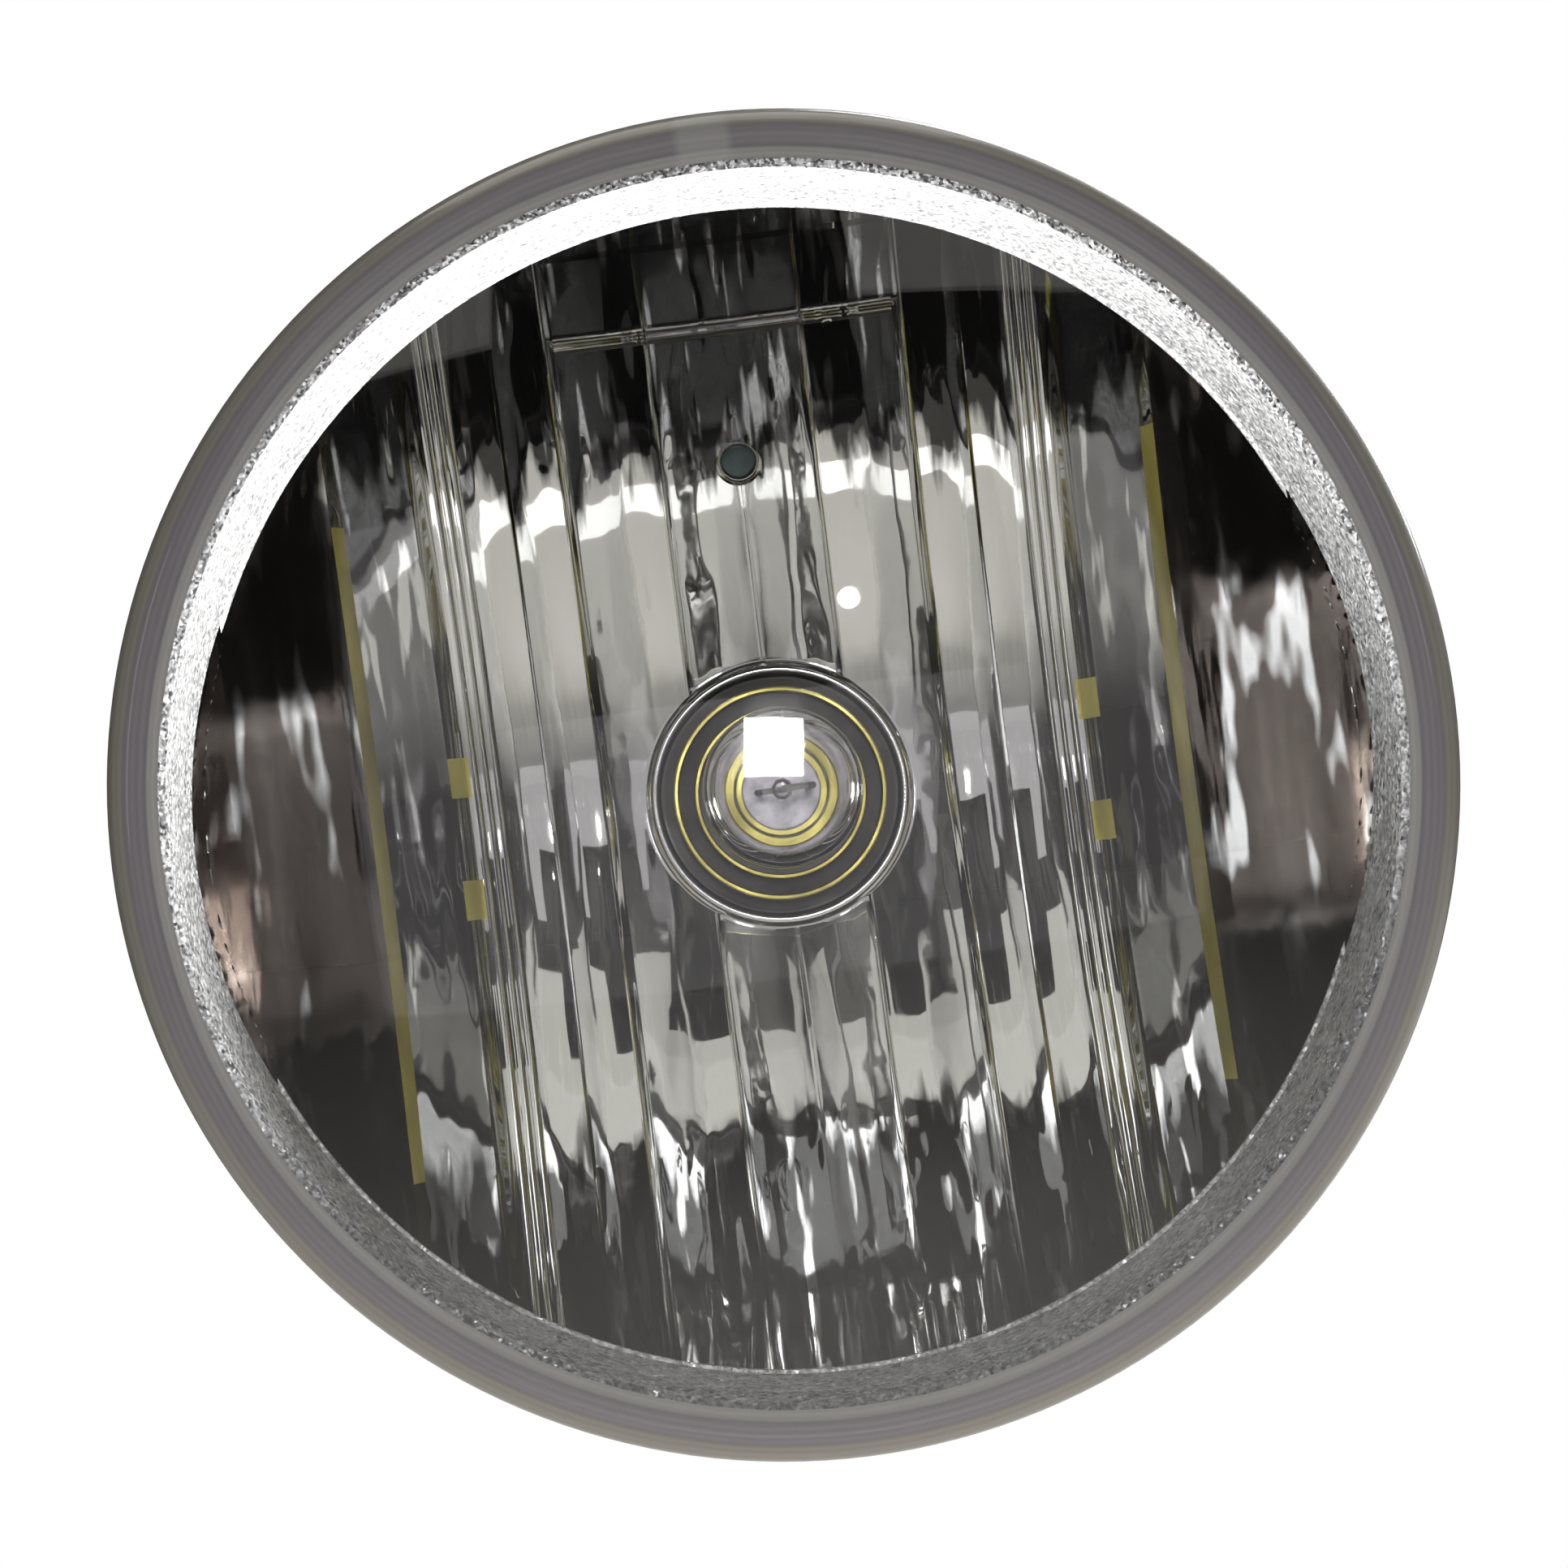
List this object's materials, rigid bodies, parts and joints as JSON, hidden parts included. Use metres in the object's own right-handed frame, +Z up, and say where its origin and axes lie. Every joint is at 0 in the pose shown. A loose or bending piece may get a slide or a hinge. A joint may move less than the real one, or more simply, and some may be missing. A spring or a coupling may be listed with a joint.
{
  "type": "fog light",
  "caption": "Round fog light with a clear domed lens, a fluted mirror reflector, a twist-lock bulb and a tilting bracket with pads.",
  "frame": {"origin": "on the optical axis, in the plane of the bracket's three mounting pads", "axes": "+Y along the optical axis to the back of the lamp, so the beam goes along -Y; +X across; +Z up"},
  "size_m": [0.1, 0.0782, 0.1],
  "materials": {
    "clear_lens": "clear, polished, hard-coated",
    "sealant": "grey, matt",
    "mirror_coat": "vacuum-metallised mirror",
    "housing_plastic": "warm grey, lightly textured",
    "rubber": "black, matt",
    "membrane": "white, porous",
    "bulb_glass": "clear quartz",
    "gold_steel": "yellow passivated",
    "pinch_seal": "pressed quartz, cloudy",
    "tungsten": "dark drawn wire",
    "bulb_base": "black, heat-resistant",
    "tinned_blade": "tin-plated",
    "coated_steel": "black e-coat, satin",
    "zinc_steel": "zinc-plated",
    "nylon": "natural, moulded"
  },
  "bodies": {
    "bracket": {"mounting_bracket": "coated_steel", "weld_nut_top": "zinc_steel", "weld_nut_left": "zinc_steel", "weld_nut_right": "zinc_steel", "adjuster_bush": "nylon", "pivot_pin_left": "zinc_steel", "pivot_pin_right": "zinc_steel"},
    "lamp": {"housing": "housing_plastic", "lens": "clear_lens", "lens_sealant": "sealant", "bezel_ring": "mirror_coat", "reflector": "mirror_coat", "vent_cap": "rubber", "vent_membrane": "membrane", "pivot_bush_left": "nylon", "pivot_bush_right": "nylon"},
    "bulb": {"bulb_base": "bulb_base", "bulb_glass": "bulb_glass", "bulb_collar": "gold_steel", "pinch_seal": "pinch_seal", "filament": "tungsten", "lead_wire_left": "tungsten", "lead_wire_right": "tungsten", "terminal_left": "tinned_blade", "terminal_right": "tinned_blade", "bulb_seal": "rubber"},
    "adjuster": {"adjuster_screw": "zinc_steel", "adjuster_clip": "zinc_steel"},
    "nut": {"adjuster_nut": "nylon"}
  },
  "joints": [
    {"name": "aim_tilt", "type": "hinge", "parent": "bracket", "child": "lamp", "pos_m": [0, -0.016, 0], "axis": [1, 0, 0], "range_deg": [-3.5, 3.5]},
    {"name": "adjuster_turn", "type": "hinge", "parent": "bracket", "child": "adjuster", "pos_m": [0, 0, -0.0435], "axis": [0, 1, 0], "range_deg": [-470, 470]},
    {"name": "nut_swivel", "type": "hinge", "parent": "lamp", "child": "nut", "pos_m": [0, -0.0145, -0.0435], "axis": [1, 0, 0], "range_deg": [-3.6, 3.6]},
    {"name": "bulb_twist", "type": "hinge", "parent": "lamp", "child": "bulb", "pos_m": [0, 0, 0], "axis": [0, 1, 0], "range_deg": [0, 40]}
  ],
  "couplings": [
    {"joint": "aim_tilt", "follows": "adjuster_turn", "ratio": -0.0073175},
    {"joint": "nut_swivel", "follows": "adjuster_turn", "ratio": 0.0073175}
  ]
}
